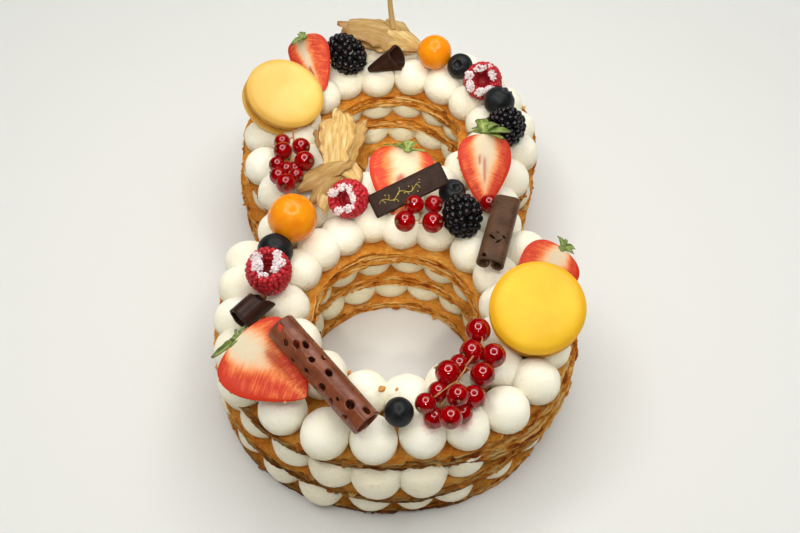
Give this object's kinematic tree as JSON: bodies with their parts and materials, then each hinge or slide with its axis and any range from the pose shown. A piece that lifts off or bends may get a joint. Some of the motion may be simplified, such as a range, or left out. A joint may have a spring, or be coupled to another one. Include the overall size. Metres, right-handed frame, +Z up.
{
  "type": "number cake",
  "caption": "Layered puff pastry and piped cream cake in the shape of the number 8, open through both loops, dressed with berries, macarons, husks and chocolate pieces.",
  "frame": {"origin": "on the underside, in the middle of the bridge between the two loops", "axes": "+Z up, +Y towards the top of the 8, +X to its right; the side seen in the picture faces -Y and up"},
  "size_m": [0.1588, 0.2655, 0.0811],
  "materials": {
    "pastry": "matt, flaky, baked",
    "cream": "soft satin",
    "strawberry": "moist cut face",
    "leaf": "matt leaf",
    "bramble": "glossy beads",
    "raspberry": "satin beads, sugared rim",
    "blueberry": "matt bloom",
    "physalis": "smooth skin",
    "currant": "clear glossy skin",
    "macaron_front": "smooth matt shell",
    "macaron_back": "smooth matt shell",
    "macaron_filling": "satin",
    "chocolate_dark": "satin chocolate",
    "chocolate_milk": "glossy chocolate",
    "husk": "dry and papery"
  },
  "bodies": {
    "root": {"pastry_bottom": "pastry", "cream_bottom": "cream", "pastry_middle": "pastry", "cream_middle": "cream", "pastry_top": "pastry", "cream_top": "cream", "macaron_back_shell_upper": "macaron_back", "macaron_back_shell_lower": "macaron_back", "macaron_back_filling": "macaron_filling", "macaron_front_shell_upper": "macaron_front", "macaron_front_shell_lower": "macaron_front", "macaron_front_filling": "macaron_filling", "strawberry_front": "strawberry", "strawberry_front_leaves": "leaf", "strawberry_right": "strawberry", "strawberry_right_leaves": "leaf", "strawberry_centre": "strawberry", "strawberry_centre_leaves": "leaf", "strawberry_back": "strawberry", "strawberry_back_leaves": "leaf", "strawberry_side": "strawberry", "strawberry_side_leaves": "leaf", "bramble_back": "bramble", "bramble_right": "bramble", "bramble_centre": "bramble", "raspberry_back": "raspberry", "raspberry_centre": "raspberry", "raspberry_left": "raspberry", "blueberry_back": "blueberry", "blueberry_right": "blueberry", "blueberry_left": "blueberry", "blueberry_centre": "blueberry", "blueberry_front": "blueberry", "physalis_back": "physalis", "physalis_left": "physalis", "currants_left": "currant", "currants_centre": "currant", "currants_front": "currant", "currant_single": "currant", "husk_back": "husk", "husk_left": "husk", "chocolate_roll": "chocolate_milk", "chocolate_tube": "chocolate_dark", "chocolate_curl_left": "chocolate_dark", "chocolate_curl_back": "chocolate_dark", "chocolate_plaque": "chocolate_dark"}
  },
  "joints": []
}
